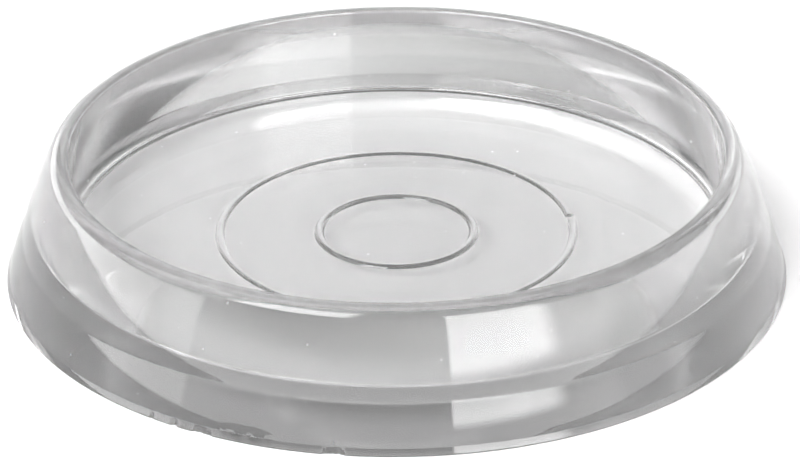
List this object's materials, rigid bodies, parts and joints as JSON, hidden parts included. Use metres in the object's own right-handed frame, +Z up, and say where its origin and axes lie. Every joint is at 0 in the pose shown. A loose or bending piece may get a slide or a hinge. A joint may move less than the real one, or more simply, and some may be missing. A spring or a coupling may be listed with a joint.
{
  "type": "castor cup",
  "caption": "Clear moulded plastic castor cup: a shallow round dish with a raised rim and flared skirt that stands under a furniture castor or leg and spreads its load.",
  "frame": {"origin": "centre of the footprint, on the surface that the cup stands on", "axes": "+Z up along the axis of revolution, out of the open recess; X and Y are any two directions across the cup"},
  "size_m": [0.072, 0.072, 0.0124],
  "materials": {
    "clear_plastic": "clear gloss, lightly scuffed"
  },
  "bodies": {
    "root": {"castor_cup": "clear_plastic"}
  },
  "joints": []
}
